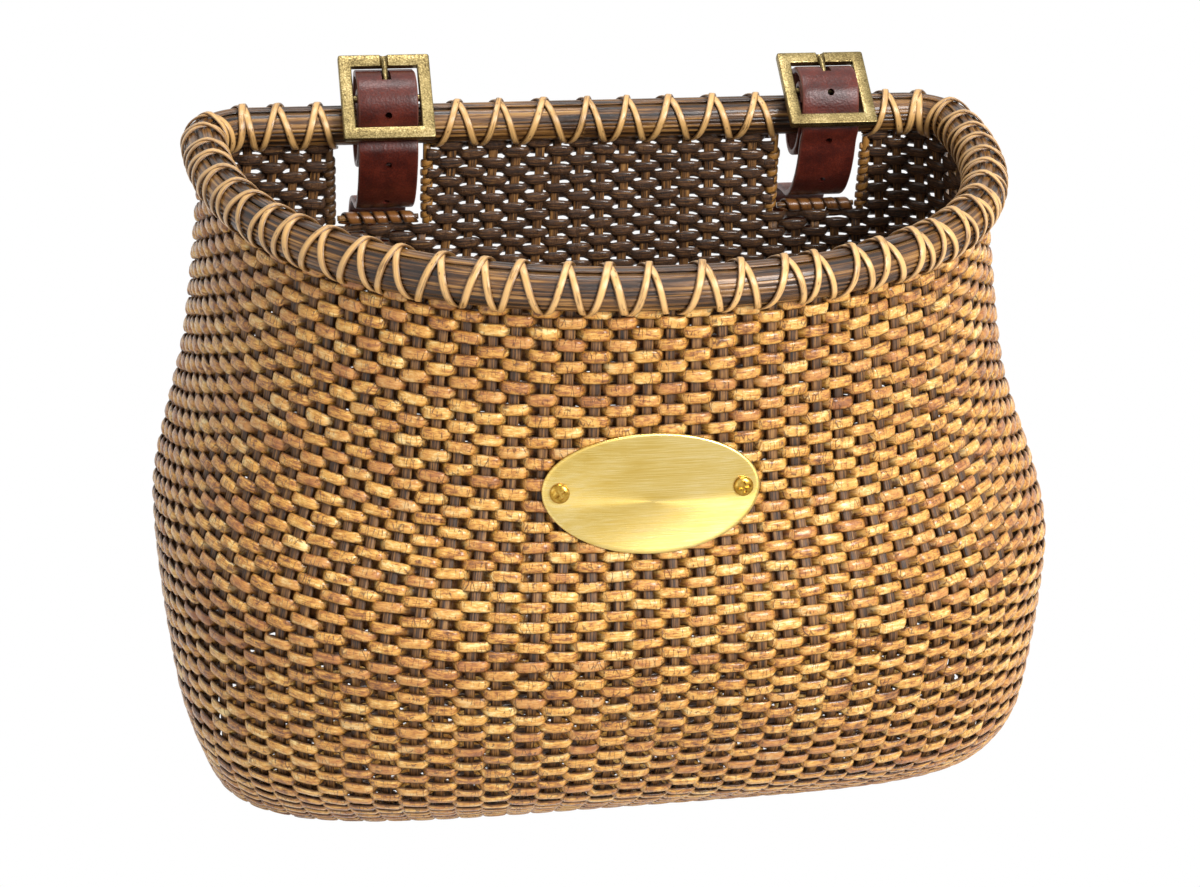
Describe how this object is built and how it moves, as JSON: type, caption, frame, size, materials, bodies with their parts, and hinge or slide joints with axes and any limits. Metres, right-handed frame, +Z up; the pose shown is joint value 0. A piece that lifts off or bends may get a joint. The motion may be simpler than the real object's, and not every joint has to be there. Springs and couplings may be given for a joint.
{
  "type": "wicker handlebar basket",
  "caption": "Woven rattan basket with a flat back, bowed front and cane-laced rim, hung by leather straps with brass buckles",
  "frame": {"origin": "the middle of the object's box, on the surface that the basket stands on", "axes": "+X to the right seen from the front, +Y to the flat back with the straps, +Z up"},
  "size_m": [0.362, 0.2422, 0.2574],
  "materials": {
    "rattan": "varnished golden rattan",
    "pole": "dark stained, varnished",
    "cane": "light peeled cane, satin",
    "wrap": "orange-brown cane, glossy",
    "leather": "oxblood, grained",
    "brass": "antique",
    "plate": "brushed gold"
  },
  "bodies": {
    "basket": {"woven_wall": "rattan", "woven_base": "rattan", "rim_outer_hoop": "pole", "rim_inner_hoop": "pole", "rim_cap_strip": "pole", "lacing_right_under": "cane", "lacing_right_over": "cane", "lacing_left_under": "cane", "lacing_left_over": "cane", "lacing_back_under": "cane", "lacing_back_over": "cane", "left_slot_post_outer": "rattan", "left_slot_post_inner": "rattan", "left_sill_rod": "pole", "left_sill_wrap": "wrap", "right_slot_post_outer": "rattan", "right_slot_post_inner": "rattan", "right_sill_rod": "pole", "right_sill_wrap": "wrap", "front_plate": "plate", "plate_screw_left": "plate", "plate_nut_left": "plate", "plate_screw_right": "plate", "plate_nut_right": "plate"},
    "left_hanger": {"left_strap": "leather"},
    "left_buckle": {"left_buckle_frame": "brass"},
    "left_prong": {"left_buckle_prong": "brass"},
    "right_hanger": {"right_strap": "leather"},
    "right_buckle": {"right_buckle_frame": "brass"},
    "right_prong": {"right_buckle_prong": "brass"}
  },
  "joints": [
    {"name": "left_strap_swing", "type": "hinge", "parent": "basket", "child": "left_hanger", "pos_m": [-0.0815, 0.0929, 0.23], "axis": [1, 0, 0], "range_deg": [0, 45]},
    {"name": "left_buckle_rock", "type": "hinge", "parent": "left_hanger", "child": "left_buckle", "pos_m": [-0.0815, 0.08767, 0.24287], "axis": [1, 0, 0], "range_deg": [-3, 3]},
    {"name": "left_prong_lift", "type": "hinge", "parent": "left_buckle", "child": "left_prong", "pos_m": [-0.0815, 0.08767, 0.24287], "axis": [1, 0, 0], "range_deg": [0, 5]},
    {"name": "right_strap_swing", "type": "hinge", "parent": "basket", "child": "right_hanger", "pos_m": [0.1015, 0.0929, 0.23], "axis": [1, 0, 0], "range_deg": [0, 45]},
    {"name": "right_buckle_rock", "type": "hinge", "parent": "right_hanger", "child": "right_buckle", "pos_m": [0.1015, 0.08777, 0.24193], "axis": [1, 0, 0], "range_deg": [-3, 3]},
    {"name": "right_prong_lift", "type": "hinge", "parent": "right_buckle", "child": "right_prong", "pos_m": [0.1015, 0.08777, 0.24193], "axis": [1, 0, 0], "range_deg": [0, 5]}
  ]
}
